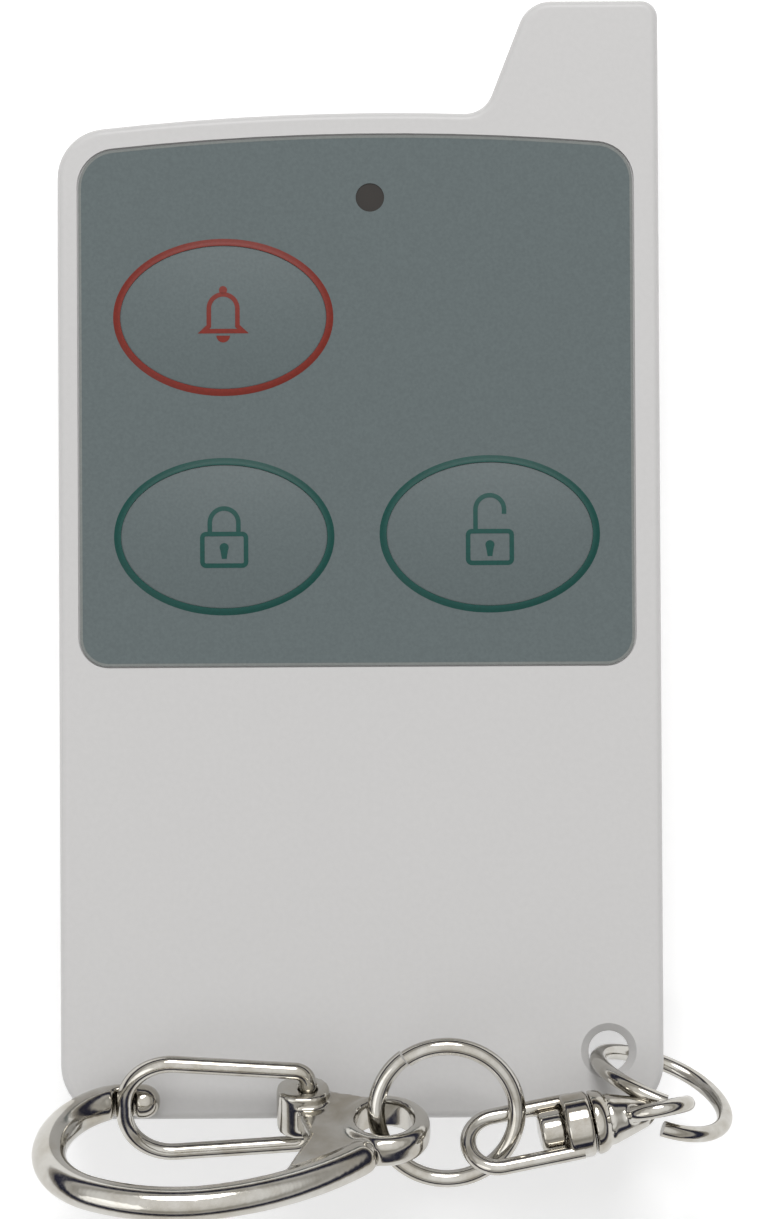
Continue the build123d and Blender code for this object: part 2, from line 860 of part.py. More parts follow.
def hook_body():
    bar = hook_bar()
    eye = Pos(hook_eye_x, hook_eye_y) * extrude(
        Circle(hook_eye_radius), amount=hook_eye_half_depth, both=True
    )
    eye = fillet(eye.edges().filter_by(GeomType.CIRCLE), hook_eye_edge_radius)
    web = extrude(make_face(Polyline(*web_points, close=True)), amount=web_half_depth, both=True)
    boss = SlotCenterToCenter(pivot_x - pivot_boss_x, 2 * pivot_boss_radius)
    boss = Pos((pivot_x + pivot_boss_x) / 2, 0) * extrude(
        boss, amount=pivot_boss_half_depth, both=True
    )
    body = bar + web + eye + boss
    span = hook_eye_half_depth + cut_overrun
    body -= Pos(hook_eye_x, hook_eye_y) * Cylinder(hook_eye_hole_radius, 2 * span)
    notch_top = notch_floor_y
    notch_low = notch_floor_y - 2 * bar_radius
    body -= box(
        notch_x - notch_half_width,
        notch_x + notch_half_width,
        notch_low,
        notch_top,
        -2 * bar_radius,
        2 * bar_radius,
    )
    pin_room = gate_wire_radius + gate_hole_clearance
    inner = gate_end_depth - gate_hole_clearance
    for side in both_sides:
        low, high = sorted((side * inner, side * (pivot_boss_half_depth + cut_overrun)))
        body -= rod(pivot_x, 0, pin_room, low, high)
    return hook_frame() * body


def hook_gate():
    """Spring wire bent to a loop, its two ends sprung into the pivot holes."""
    corners = (
        (pivot_x, gate_end_depth),
        (pivot_x, gate_root_half_width),
        (gate_tip_x, gate_tip_half_width),
        (gate_tip_x, -gate_tip_half_width),
        (pivot_x, -gate_root_half_width),
        (pivot_x, -gate_end_depth),
    )
    path = Wire(Polyline(*corners).edges())
    for x, y in corners[1:-1]:
        bend = gate_root_bend_radius if x == pivot_x else gate_tip_bend_radius
        path = path.fillet_2d(bend, [nearest(path, x, y)])
    path = Plane.XZ * path
    section = Plane(origin=path @ 0, z_dir=path % 0) * Circle(gate_wire_radius)
    return hook_frame() * sweep(section, path=path)


os.makedirs("parts", exist_ok=True)
nodes = {
    "rear_shell": rear_shell(),
    "front_shell": front_shell(),
    "battery_cover": battery_cover(),
    "overlay_film": overlay_film(),
    "led_window": led_window(),
    "circuit_board": circuit_board(),
    "switch_bodies": Compound(children=[switch_body(x, y) for x, y in key_places().values()]),
    "switch_covers": Compound(children=[switch_cover(x, y) for x, y in key_places().values()]),
    "status_led": status_led(),
    "encoder_chip": encoder_chip(),
    "encoder_leads": encoder_leads(),
    "saw_resonator": saw_resonator(),
    "rf_transistor": rf_transistor(),
    "chip_passives": chip_passives(),
    "antenna_coil": antenna_coil(),
    "battery_cell": battery_cell(),
    "battery_plus_contact": battery_plus_contact(),
    "battery_minus_contact": battery_minus_contact(),
    "case_screws": Compound(children=[case_screw(x, y) for x, y in screw_places()]),
    "fob_ring": fob_ring(),
    "swivel_eye": swivel_eye(),
    "swivel_stirrup": swivel_stirrup(),
    "link_ring": link_ring(),
    "hook_body": hook_body(),
    "hook_gate": hook_gate(),
}
for name, (x, y) in key_places().items():
    nodes[f"{name}_key"] = key(x, y)
    nodes[f"{name}_pusher"] = pusher(x, y)
    nodes[f"{name}_stem"] = stem(x, y)
for name, shape in nodes.items():
    export_step(shape, f"parts/{name}.step")
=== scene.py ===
import json
import math

import bpy
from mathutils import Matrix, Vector


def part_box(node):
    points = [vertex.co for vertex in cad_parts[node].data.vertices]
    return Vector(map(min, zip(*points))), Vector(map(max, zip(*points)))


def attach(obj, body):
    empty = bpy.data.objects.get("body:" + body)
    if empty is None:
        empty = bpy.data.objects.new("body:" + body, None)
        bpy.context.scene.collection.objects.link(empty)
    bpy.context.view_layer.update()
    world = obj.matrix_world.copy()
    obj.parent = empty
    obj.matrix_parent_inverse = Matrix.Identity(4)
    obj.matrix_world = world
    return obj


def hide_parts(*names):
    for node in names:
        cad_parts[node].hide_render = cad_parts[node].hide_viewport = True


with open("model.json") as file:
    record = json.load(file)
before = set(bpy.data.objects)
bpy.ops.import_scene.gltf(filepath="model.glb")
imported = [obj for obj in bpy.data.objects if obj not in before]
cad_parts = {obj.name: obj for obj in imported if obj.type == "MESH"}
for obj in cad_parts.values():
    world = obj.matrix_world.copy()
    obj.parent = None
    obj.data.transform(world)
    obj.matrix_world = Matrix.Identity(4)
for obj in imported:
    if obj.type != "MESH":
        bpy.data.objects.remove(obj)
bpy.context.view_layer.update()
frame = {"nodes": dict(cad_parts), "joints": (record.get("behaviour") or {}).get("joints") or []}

# Alarm key fob on its swivel chain. Metres; the fob lies on its back with its middle at
# the origin, +Y to the antenna stub and +Z out of the face.
nodes = frame["nodes"]
mm = 0.001


# Camera
# The photograph looks nearly straight down on the face, from a long way off and a touch
# below it, so that the stub is a little farther away than the hook.
photo_height_px = 1219
px_per_mm = 15.05
camera_distance = 700 * mm
camera_tilt = math.radians(2.2)
camera_roll = math.radians(-0.3)
target = Vector((1.628, 0.299, 11.5)) * mm
sensor_long_side_mm = 36
nearest_seen = 10 * mm
farthest_seen = 5000 * mm
towards_camera = Vector((0, -math.sin(camera_tilt), math.cos(camera_tilt)))
bpy.ops.object.select_all(action="DESELECT")
bpy.ops.object.camera_add(
    location=target + towards_camera * camera_distance, rotation=(camera_tilt, 0, 0)
)
camera = bpy.context.object
camera.name = "photo_camera"
camera.rotation_euler.rotate_axis("Z", camera_roll)
camera.data.sensor_width = sensor_long_side_mm
camera.data.lens = sensor_long_side_mm * px_per_mm * camera_distance / mm / photo_height_px
camera.data.clip_start = nearest_seen
camera.data.clip_end = farthest_seen
bpy.context.scene.camera = camera
bpy.context.scene.view_settings.view_transform = "Standard"


# Studio
# A white table under a large soft light from beyond the stub and a weak one from the front.
# Pale walls stand all round, and only polished metal shows the dark gap above them.
overhead_place = (0.02, 0.42, 0.62)
overhead_size = 0.36
overhead_watts = 2.45
fill_place = (-0.35, -0.30, 0.45)
fill_size = 0.40
fill_watts = 0.42
room_light = 0.53
mirrored_light = 1.2
white = (1, 1, 1, 1)
floor_seen = (0.0, (0.45, 0.43, 0.40, 1))
sky_seen = (1.0, white)
room_seen_between = (
    (0.08, (0.28, 0.265, 0.24, 1)),
    (0.16, (0.022, 0.024, 0.045, 1)),
    (0.33, (0.030, 0.032, 0.058, 1)),
    (0.42, (0.55, 0.54, 0.52, 1)),
    (0.60, (0.40, 0.39, 0.37, 1)),
    (0.80, (0.85, 0.85, 0.84, 1)),
)
table_size = 3
table_drop = 0.03 * mm
table_colour = (0.93, 0.93, 0.93, 1)
table_roughness = 0.9
table_specular = 0.1
table_glow = 0.3


def area_lamp(name, place, size, watts):
    bpy.ops.object.light_add(type="AREA", location=place)
    lamp = bpy.context.object
    lamp.name = name
    lamp.data.shape = "DISK"
    lamp.data.size = size
    lamp.data.energy = watts
    lamp.rotation_euler = (target - Vector(place)).to_track_quat("-Z", "Y").to_euler()


area_lamp("overhead_softbox", overhead_place, overhead_size, overhead_watts)
area_lamp("front_fill", fill_place, fill_size, fill_watts)

world = bpy.data.worlds.new("studio_room")
bpy.context.scene.world = world
world.use_nodes = True
room = world.node_tree
room.nodes.clear()
room_output = room.nodes.new("ShaderNodeOutputWorld")
direction = room.nodes.new("ShaderNodeTexCoord")
split = room.nodes.new("ShaderNodeSeparateXYZ")
walls = room.nodes.new("ShaderNodeValToRGB")
walls.color_ramp.interpolation = "EASE"
for end, (height, colour) in zip(walls.color_ramp.elements, (floor_seen, sky_seen)):
    end.position = height
    end.color = colour
for height, colour in room_seen_between:
    walls.color_ramp.elements.new(height).color = colour
mirrored = room.nodes.new("ShaderNodeBackground")
mirrored.inputs["Strength"].default_value = mirrored_light
ambient = room.nodes.new("ShaderNodeBackground")
ambient.inputs["Color"].default_value = white
ambient.inputs["Strength"].default_value = room_light
seen = room.nodes.new("ShaderNodeBackground")
seen.inputs["Color"].default_value = white
rays = room.nodes.new("ShaderNodeLightPath")
direct_or_through = room.nodes.new("ShaderNodeMath")
direct_or_through.operation = "MAXIMUM"
glossy_or_not = room.nodes.new("ShaderNodeMixShader")
white_or_not = room.nodes.new("ShaderNodeMixShader")
room.links.new(direction.outputs["Generated"], split.inputs["Vector"])
room.links.new(split.outputs["Z"], walls.inputs["Fac"])
room.links.new(walls.outputs["Color"], mirrored.inputs["Color"])
room.links.new(rays.outputs["Is Glossy Ray"], glossy_or_not.inputs["Fac"])
room.links.new(ambient.outputs["Background"], glossy_or_not.inputs[1])
room.links.new(mirrored.outputs["Background"], glossy_or_not.inputs[2])
room.links.new(rays.outputs["Is Camera Ray"], direct_or_through.inputs[0])
room.links.new(rays.outputs["Is Transmission Ray"], direct_or_through.inputs[1])
room.links.new(direct_or_through.outputs["Value"], white_or_not.inputs["Fac"])
room.links.new(glossy_or_not.outputs["Shader"], white_or_not.inputs[1])
room.links.new(seen.outputs["Background"], white_or_not.inputs[2])
room.links.new(white_or_not.outputs["Shader"], room_output.inputs["Surface"])

bpy.ops.mesh.primitive_plane_add(size=table_size, location=(0, 0, -table_drop))
table = bpy.context.object
table.name = "studio_table"
table_white = bpy.data.materials.new("studio_table_white")
table_white.use_nodes = True
table_shader = table_white.node_tree.nodes["Principled BSDF"]
table_shader.inputs["Base Color"].default_value = table_colour
table_shader.inputs["Roughness"].default_value = table_roughness
table_shader.inputs["Specular IOR Level"].default_value = table_specular
table_shader.inputs["Emission Color"].default_value = white
table_shader.inputs["Emission Strength"].default_value = table_glow
table.data.materials.append(table_white)


# Case: front shell, rear shell and battery cover
# Injection-moulded ABS in a warm off-white, with a fine spark-eroded grain. The shells close
# on a tongue, and the cover slides in the back. A dark hair stands for their parting line. It
# lies level with the front shell's lowest point, which is 0.3 mm below that line.
case_colour = (0.604, 0.596, 0.590, 1)
case_roughness = 0.42
case_grain_scale = 2600
case_grain_depth = 0.012 * mm
case_blotch = 0.012
case_speckle = 0.012
grain_detail = 2
grain_relief = 0.5
blotch_scale = 90
blotch_detail = 3
fleck_low, fleck_high = 0.3, 0.7
roughness_spread = 0.05
seam_half_width = 0.04 * mm
seam_shadow = (0.10, 0.096, 0.092, 1)


def moulding_grain():
    """Node group: fine tool grain as a bumped normal, with blotches and speckle as masks."""
    group = bpy.data.node_groups.new("moulding_grain", "ShaderNodeTree")
    for name in ("Scale", "Depth"):
        group.interface.new_socket(name, in_out="INPUT", socket_type="NodeSocketFloat")
    for name in ("Blotches", "Speckle"):
        group.interface.new_socket(name, in_out="OUTPUT", socket_type="NodeSocketFloat")
    group.interface.new_socket("Normal", in_out="OUTPUT", socket_type="NodeSocketVector")
    start = group.nodes.new("NodeGroupInput")
    end = group.nodes.new("NodeGroupOutput")
    place = group.nodes.new("ShaderNodeTexCoord")
    grain = group.nodes.new("ShaderNodeTexNoise")
    grain.inputs["Detail"].default_value = grain_detail
    cloud = group.nodes.new("ShaderNodeTexNoise")
    cloud.inputs["Scale"].default_value = blotch_scale
    cloud.inputs["Detail"].default_value = blotch_detail
    bump = group.nodes.new("ShaderNodeBump")
    bump.inputs["Strength"].default_value = grain_relief
    link = group.links.new
    link(place.outputs["Object"], grain.inputs["Vector"])
    link(place.outputs["Object"], cloud.inputs["Vector"])
    link(start.outputs["Scale"], grain.inputs["Scale"])
    link(start.outputs["Depth"], bump.inputs["Distance"])
    link(grain.outputs["Fac"], bump.inputs["Height"])
    link(cloud.outputs["Fac"], end.inputs["Blotches"])
    link(grain.outputs["Fac"], end.inputs["Speckle"])
    link(bump.outputs["Normal"], end.inputs["Normal"])
    return group


grain_group = moulding_grain()


def grained_plastic(name, colour, roughness, scale, depth, blotch, speckle, specular=0.5):
    """Plastic whose colour strays a little, by blotches and by the grain's own speckle."""
    plastic = bpy.data.materials.new(name)
    plastic.use_nodes = True
    tree = plastic.node_tree
    shader = tree.nodes["Principled BSDF"]
    shader.inputs["Specular IOR Level"].default_value = specular
    grain = tree.nodes.new("ShaderNodeGroup")
    grain.node_tree = grain_group
    grain.inputs["Scale"].default_value = scale
    grain.inputs["Depth"].default_value = depth
    tone = tree.nodes.new("ShaderNodeMix")
    tone.data_type = "RGBA"
    tone.inputs["A"].default_value = tuple(c * (1 - blotch) for c in colour[:3]) + (1,)
    tone.inputs["B"].default_value = tuple(c * (1 + blotch) for c in colour[:3]) + (1,)
    fleck = tree.nodes.new("ShaderNodeMapRange")
    fleck.inputs["From Min"].default_value = fleck_low
    fleck.inputs["From Max"].default_value = fleck_high
    fleck.inputs["To Min"].default_value = 1 - speckle
    fleck.inputs["To Max"].default_value = 1 + speckle
    mottled = tree.nodes.new("ShaderNodeVectorMath")
    mottled.operation = "SCALE"
    dull = tree.nodes.new("ShaderNodeMapRange")
    dull.inputs["To Min"].default_value = roughness - roughness_spread
    dull.inputs["To Max"].default_value = roughness + roughness_spread
    link = tree.links.new
    link(grain.outputs["Blotches"], tone.inputs["Factor"])
    link(grain.outputs["Speckle"], fleck.inputs["Value"])
    link(tone.outputs["Result"], mottled.inputs[0])
    link(fleck.outputs["Result"], mottled.inputs["Scale"])
    link(mottled.outputs["Vector"], shader.inputs["Base Color"])
    link(grain.outputs["Blotches"], dull.inputs["Value"])
    link(dull.outputs["Result"], shader.inputs["Roughness"])
    link(grain.outputs["Normal"], shader.inputs["Normal"])
    return plastic


def dress(material, *names):
    """Puts one material on the whole of each named CAD node."""
    for name in names:
        surface = nodes[name].data
        surface.materials.clear()
        surface.materials.append(material)


case_plastic = grained_plastic(
    "case_offwhite_abs",
    case_colour,
    case_roughness,
    case_grain_scale,
    case_grain_depth,
    case_blotch,
    case_speckle,
)
dress(case_plastic, "front_shell", "rear_shell", "battery_cover")

front_shell_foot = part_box("front_shell")[0][2]
case_tree = case_plastic.node_tree
case_shader = case_tree.nodes["Principled BSDF"]
clean_colour = case_shader.inputs["Base Color"].links[0].from_socket
case_place = case_tree.nodes.new("ShaderNodeTexCoord")
case_split = case_tree.nodes.new("ShaderNodeSeparateXYZ")
at_seam = case_tree.nodes.new("ShaderNodeMath")
at_seam.operation = "COMPARE"
at_seam.inputs[1].default_value = front_shell_foot
at_seam.inputs[2].default_value = seam_half_width
seam_tone = case_tree.nodes.new("ShaderNodeMix")
seam_tone.data_type = "RGBA"
seam_tone.inputs["B"].default_value = seam_shadow
case_tree.links.new(case_place.outputs["Object"], case_split.inputs["Vector"])
case_tree.links.new(case_split.outputs["Z"], at_seam.inputs[0])
case_tree.links.new(at_seam.outputs["Value"], seam_tone.inputs["Factor"])
case_tree.links.new(clean_colour, seam_tone.inputs["A"])
case_tree.links.new(seam_tone.outputs["Result"], case_shader.inputs["Base Color"])


# Overlay film and key tops
# Polycarbonate film, printed blue-grey on its back and textured on its face, die-cut and
# stuck into the recess. The key tops are domes of the same film over their pushers.
film_colour = (0.112, 0.139, 0.142, 1)
film_roughness = 0.5
film_grain_scale = 5200
film_grain_depth = 0.006 * mm
film_blotch = 0.02
film_speckle = 0.07
film_specular = 0.3
film_grey = grained_plastic(
    "overlay_film_grey",
    film_colour,
    film_roughness,
    film_grain_scale,
    film_grain_depth,
    film_blotch,
    film_speckle,
    film_specular,
)
dress(film_grey, "overlay_film", "panic_key", "arm_key", "disarm_key")


# Painted highlight along the film's edge
# A paler band round the film's outer edge is painted highlight, for the light that the edge
# catches. It is cut from a copy of the film's own top face.
margin_width = 0.17 * mm
margin_lift = 0.008 * mm
margin_search = 1.2 * mm
crown_search = 2 * mm
merge_distance = 0.0005 * mm
facing_up = 0.5
# The band's paler colour is painted highlight.
edge_highlight_colour = (0.200, 0.213, 0.205, 1)
film_low, film_high = (Vector(corner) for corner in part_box("overlay_film"))


def merged_copy(node, name):
    """Copy of a CAD node with its loose triangles joined up, alone in the selection."""
    piece = nodes[node].copy()
    piece.data = nodes[node].data.copy()
    piece.data.materials.clear()
    piece.name = name
    bpy.context.collection.objects.link(piece)
    bpy.ops.object.select_all(action="DESELECT")
    piece.select_set(True)
    bpy.context.view_layer.objects.active = piece
    bpy.ops.object.mode_set(mode="EDIT")
    bpy.ops.mesh.select_all(action="SELECT")
    bpy.ops.mesh.remove_doubles(threshold=merge_distance)
    bpy.ops.object.mode_set(mode="OBJECT")
    return piece


def select_faces(piece, wanted):
    """Leaves the piece in edit mode with the faces selected that pass the test."""
    bpy.ops.object.mode_set(mode="EDIT")
    bpy.ops.mesh.select_mode(type="FACE")
    bpy.ops.mesh.select_all(action="DESELECT")
    bpy.ops.object.mode_set(mode="OBJECT")
    for face in piece.data.polygons:
        face.select = wanted(face)
    bpy.ops.object.mode_set(mode="EDIT")


def round_a_cut(face):
    """True beside the cuts for the keys and the light, well inside the film's four sides."""
    middle = face.center
    near = [v.co.y for v in margin.data.vertices if abs(v.co.x - middle.x) < crown_search]
    crown = max(near)
    from_sides = min(middle.x - film_low.x, film_high.x - middle.x)
    return min(from_sides, middle.y - film_low.y, crown - middle.y) > margin_search


margin = merged_copy("overlay_film", "film_edge_painted_highlight")
select_faces(margin, lambda face: face.normal.z < facing_up)
bpy.ops.mesh.delete(type="FACE")
bpy.ops.mesh.select_all(action="SELECT")
bpy.ops.mesh.inset(thickness=margin_width, use_boundary=True)
bpy.ops.mesh.delete(type="FACE")
select_faces(margin, round_a_cut)
bpy.ops.mesh.delete(type="FACE")
bpy.ops.mesh.select_all(action="SELECT")
bpy.ops.transform.translate(value=(0, 0, margin_lift))
bpy.ops.object.mode_set(mode="OBJECT")
thick = margin.modifiers.new("film_thickness", "SOLIDIFY")
thick.thickness = margin_lift / 2
thick.offset = -1
bpy.ops.object.modifier_apply(modifier="film_thickness")
margin.data.materials.append(
    grained_plastic(
        "film_edge_highlight_paint",
        edge_highlight_colour,
        film_roughness,
        film_grain_scale,
        film_grain_depth,
        film_blotch,
        film_speckle,
        film_specular,
    )
)
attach(margin, "case")


# Printed rings round the keys
# An oval line in red or green ink, printed on the film's slope where it is embossed
# upwards round each key, so its far side catches the light and its near side doesn't.
ring_gap = 0.015 * mm
ring_width = 0.46 * mm
ring_rise = 0.15 * mm
ring_toe = 0.012 * mm
ring_vertices = 160
ring_steps = ((0.25, 0.0), (0.35, 0.45), (0.40, 0.55))
ring_smooth_angle = math.radians(50)
red_ink_colour = (0.175, 0.018, 0.010, 1)
green_ink_colour = (0.001, 0.056, 0.046, 1)
ink_roughness = 0.45
ink_blotch = 0.05
ink_speckle = 0.10


def printing_ink(name, colour):
    """Screen-printing ink, which takes on the film's own grain."""
    return grained_plastic(
        name,
        colour,
        ink_roughness,
        film_grain_scale,
        film_grain_depth,
        ink_blotch,
        ink_speckle,
        film_specular,
    )


red_ink = printing_ink("printing_ink_red", red_ink_colour)
green_ink = printing_ink("printing_ink_green", green_ink_colour)


def printed_ring(name, key, ink):
    """Oval band round a key, level at its inner edge and then sloping down to the film."""
    low, high = (Vector(corner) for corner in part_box(key))
    centre = (low + high) / 2
    inner_x = (high.x - low.x) / 2 + ring_gap
    inner_y = (high.y - low.y) / 2 + ring_gap
    bpy.ops.object.select_all(action="DESELECT")
    bpy.ops.mesh.primitive_circle_add(
        vertices=ring_vertices,
        radius=inner_x,
        location=(centre.x, centre.y, film_high.z + ring_rise),
    )
    ring = bpy.context.object
    ring.name = name
    bpy.ops.object.transform_apply(location=True, rotation=True, scale=True)
    bpy.ops.object.mode_set(mode="EDIT")
    bpy.ops.mesh.select_mode(type="VERT")
    bpy.ops.mesh.select_all(action="SELECT")
    bpy.ops.transform.resize(value=(1, inner_y / inner_x, 1))
    reach_x, reach_y = inner_x, inner_y
    for share, fall_share in ring_steps:
        bpy.ops.mesh.extrude_region_move(
            TRANSFORM_OT_translate={"value": (0, 0, -fall_share * (ring_rise - ring_toe))}
        )
        next_x = reach_x + share * ring_width
        next_y = reach_y + share * ring_width
        bpy.ops.transform.resize(value=(next_x / reach_x, next_y / reach_y, 1))
        reach_x, reach_y = next_x, next_y
    select_faces(ring, lambda face: face.normal.z < 0)
    bpy.ops.mesh.flip_normals()
    bpy.ops.object.mode_set(mode="OBJECT")
    film = ring.modifiers.new("film_thickness", "SOLIDIFY")
    film.thickness = ring_toe
    film.offset = -1
    bpy.ops.object.modifier_apply(modifier="film_thickness")
    bpy.ops.object.shade_smooth_by_angle(angle=ring_smooth_angle)
    ring.data.materials.append(ink)
    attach(ring, "case")


printed_ring("panic_ring_print", "panic_key", red_ink)
printed_ring("arm_ring_print", "arm_key", green_ink)
printed_ring("disarm_ring_print", "disarm_key", green_ink)


# Printed symbols on the keys
# Line symbols in the ring's ink: a bell for panic, a shut padlock for arm and an open one
# for disarm. Each is drawn flat and then laid down on its key's dome.
symbol_line = 0.30 * mm
ink_thickness = 0.02 * mm
drawing_height = 0.2 * mm
disc_vertices = 48
level_tolerance = 0.01 * mm
lock_half_width = 1.6 * mm
lock_half_height = 1.2 * mm
lock_corner = 0.4 * mm
lock_corner_segments = 6
lock_drop = 0.9 * mm
shackle_radius = 1.1 * mm
shackle_leg = 0.6 * mm
shackle_lift = 0.7 * mm
keyhole_radius = 0.3 * mm
keyhole_slot_taper = 0.6
bell_radius = 1.1 * mm
bell_rise = 0.55 * mm
bell_wall = 1.1 * mm
bell_lip = 0.55 * mm
bell_lip_flare = 1.55
clapper_radius = 0.45 * mm
finial_radius = 0.27 * mm


def flat_disc(place, radius):
    """Filled disc lying flat, left in edit mode with all of it selected."""
    bpy.ops.object.select_all(action="DESELECT")
    bpy.ops.mesh.primitive_circle_add(
        vertices=disc_vertices, radius=radius, fill_type="NGON", location=place
    )
    bpy.ops.object.transform_apply(location=True, rotation=True, scale=True)
    bpy.ops.object.mode_set(mode="EDIT")
    bpy.ops.mesh.select_all(action="SELECT")
    return bpy.context.object


def select_edges_at(piece, height, side=0):
    """Selects the edges that lie level at one y, on one side of the piece or on both."""
    bpy.ops.mesh.select_mode(type="EDGE")
    bpy.ops.mesh.select_all(action="DESELECT")
    bpy.ops.object.mode_set(mode="OBJECT")
    spread = [v.co.x for v in piece.data.vertices]
    middle = (min(spread) + max(spread)) / 2
    for edge in piece.data.edges:
        ends = [piece.data.vertices[v].co for v in edge.vertices]
        level = all(abs(end.y - height) < level_tolerance for end in ends)
        edge.select = level and all((end.x - middle) * side >= 0 for end in ends)
    bpy.ops.object.mode_set(mode="EDIT")


def line_only():
    """Keeps a line of the symbol's width inside the piece's outline."""
    bpy.ops.mesh.select_mode(type="FACE")
    bpy.ops.mesh.select_all(action="SELECT")
    bpy.ops.mesh.inset(thickness=symbol_line, use_boundary=True)
    bpy.ops.mesh.delete(type="FACE")
    bpy.ops.object.mode_set(mode="OBJECT")


def cut_below(height):
    """Cuts what is selected along one y and drops the part below it."""
    bpy.ops.mesh.bisect(
        plane_co=(0, height, 0), plane_no=(0, 1, 0), clear_inner=True, threshold=merge_distance
    )


def lock_body(centre):
    """Outline of an oblong with rounded corners."""
    bpy.ops.object.select_all(action="DESELECT")
    place = centre - Vector((0, lock_drop, 0))
    bpy.ops.mesh.primitive_plane_add(size=2 * lock_half_width, location=place)
    bpy.ops.object.transform_apply(location=True, rotation=True, scale=True)
    bpy.ops.object.mode_set(mode="EDIT")
    bpy.ops.mesh.select_mode(type="VERT")
    bpy.ops.mesh.select_all(action="SELECT")
    bpy.ops.transform.resize(value=(1, lock_half_height / lock_half_width, 1))
    bpy.ops.mesh.bevel(affect="VERTICES", offset=lock_corner, segments=lock_corner_segments)
    body = bpy.context.object
    line_only()
    return body


def lock_shackle(centre, lift, short_leg):
    """Half ring with two legs, the right one as long as short_leg says."""
    top = centre.y - lock_drop + lock_half_height + shackle_leg + lift
    bow = flat_disc(Vector((centre.x, top, centre.z)), shackle_radius)
    line_only()
    bpy.ops.object.mode_set(mode="EDIT")
    bpy.ops.mesh.select_all(action="SELECT")
    cut_below(top)
    for side, leg in ((-1, shackle_leg + lift), (1, short_leg)):
        select_edges_at(bow, top, side)
        bpy.ops.mesh.extrude_region_move(TRANSFORM_OT_translate={"value": (0, -leg, 0)})
    bpy.ops.object.mode_set(mode="OBJECT")
    return bow


def keyhole(centre):
    """Disc with its foot cut off, over a short slot that narrows downwards."""
    place = centre - Vector((0, lock_drop, 0))
    hole = flat_disc(place + Vector((0, keyhole_radius / 2, 0)), keyhole_radius)
    cut_below(place.y)
    select_edges_at(hole, place.y)
    bpy.ops.mesh.extrude_region_move(
        TRANSFORM_OT_translate={"value": (0, -2 * keyhole_radius, 0)}
    )
    bpy.ops.transform.resize(value=(keyhole_slot_taper, 1, 1))
    bpy.ops.object.mode_set(mode="OBJECT")
    return hole


def bell(centre):
    """Dome with straight sides and a flared lip, drawn as an outline."""
    top = centre.y + bell_rise
    dome = flat_disc(Vector((centre.x, top, centre.z)), bell_radius)
    cut_below(top)
    select_edges_at(dome, top)
    bpy.ops.mesh.extrude_region_move(TRANSFORM_OT_translate={"value": (0, -bell_wall, 0)})
    bpy.ops.mesh.extrude_region_move(TRANSFORM_OT_translate={"value": (0, -bell_lip, 0)})
    bpy.ops.transform.resize(value=(bell_lip_flare, 1, 1))
    line_only()
    return dome


def bell_clapper(centre):
    """Lower half of a disc, half a line below the lip."""
    top = centre.y + bell_rise - bell_wall - bell_lip - symbol_line / 2
    clapper = flat_disc(Vector((centre.x, top, centre.z)), clapper_radius)
    bpy.ops.mesh.bisect(
        plane_co=(0, top, 0), plane_no=(0, 1, 0), clear_outer=True, threshold=merge_distance
    )
    bpy.ops.object.mode_set(mode="OBJECT")
    return clapper


def bell_finial(centre):
    """Small disc on top of the dome."""
    top = Vector((0, bell_rise + bell_radius + finial_radius / 2, 0))
    finial = flat_disc(centre + top, finial_radius)
    bpy.ops.object.mode_set(mode="OBJECT")
    return finial


def lay_on_key(name, strokes, key, body, ink):
    """Joins the strokes, drops them onto the dome and gives the ink its thickness."""
    bpy.ops.object.select_all(action="DESELECT")
    for stroke in strokes:
        stroke.select_set(True)
    bpy.context.view_layer.objects.active = strokes[0]
    bpy.ops.object.join()
    symbol = bpy.context.object
    symbol.name = name
    bpy.ops.object.mode_set(mode="EDIT")
    bpy.ops.mesh.select_all(action="SELECT")
    bpy.ops.mesh.quads_convert_to_tris()
    bpy.ops.mesh.subdivide(number_cuts=2)
    select_faces(symbol, lambda face: face.normal.z < 0)
    bpy.ops.mesh.flip_normals()
    bpy.ops.object.mode_set(mode="OBJECT")
    drop = symbol.modifiers.new("laid_on_dome", "SHRINKWRAP")
    drop.wrap_method = "PROJECT"
    drop.use_project_z = True
    drop.use_negative_direction = True
    drop.use_positive_direction = False
    drop.target = nodes[key]
    drop.offset = ink_thickness
    bpy.ops.object.modifier_apply(modifier="laid_on_dome")
    film = symbol.modifiers.new("ink_thickness", "SOLIDIFY")
    film.thickness = ink_thickness / 2
    film.offset = -1
    bpy.ops.object.modifier_apply(modifier="ink_thickness")
    symbol.data.materials.append(ink)
    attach(symbol, body)


def above(key):
    """Middle of a key, just clear of its dome."""
    low, high = (Vector(corner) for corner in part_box(key))
    return Vector(((low.x + high.x) / 2, (low.y + high.y) / 2, high.z + drawing_height))


bell_at = above("panic_key")
bell_strokes = [bell(bell_at), bell_clapper(bell_at), bell_finial(bell_at)]
lay_on_key("bell_symbol", bell_strokes, "panic_key", "panic_button", red_ink)
shut_at = above("arm_key")
shut_strokes = [lock_body(shut_at), lock_shackle(shut_at, 0, shackle_leg), keyhole(shut_at)]
lay_on_key("shut_padlock_symbol", shut_strokes, "arm_key", "arm_button", green_ink)
open_at = above("disarm_key")
open_strokes = [
    lock_body(open_at),
    lock_shackle(open_at, shackle_lift, shackle_leg / 2),
    keyhole(open_at),
]
lay_on_key("open_padlock_symbol", open_strokes, "disarm_key", "disarm_button", green_ink)


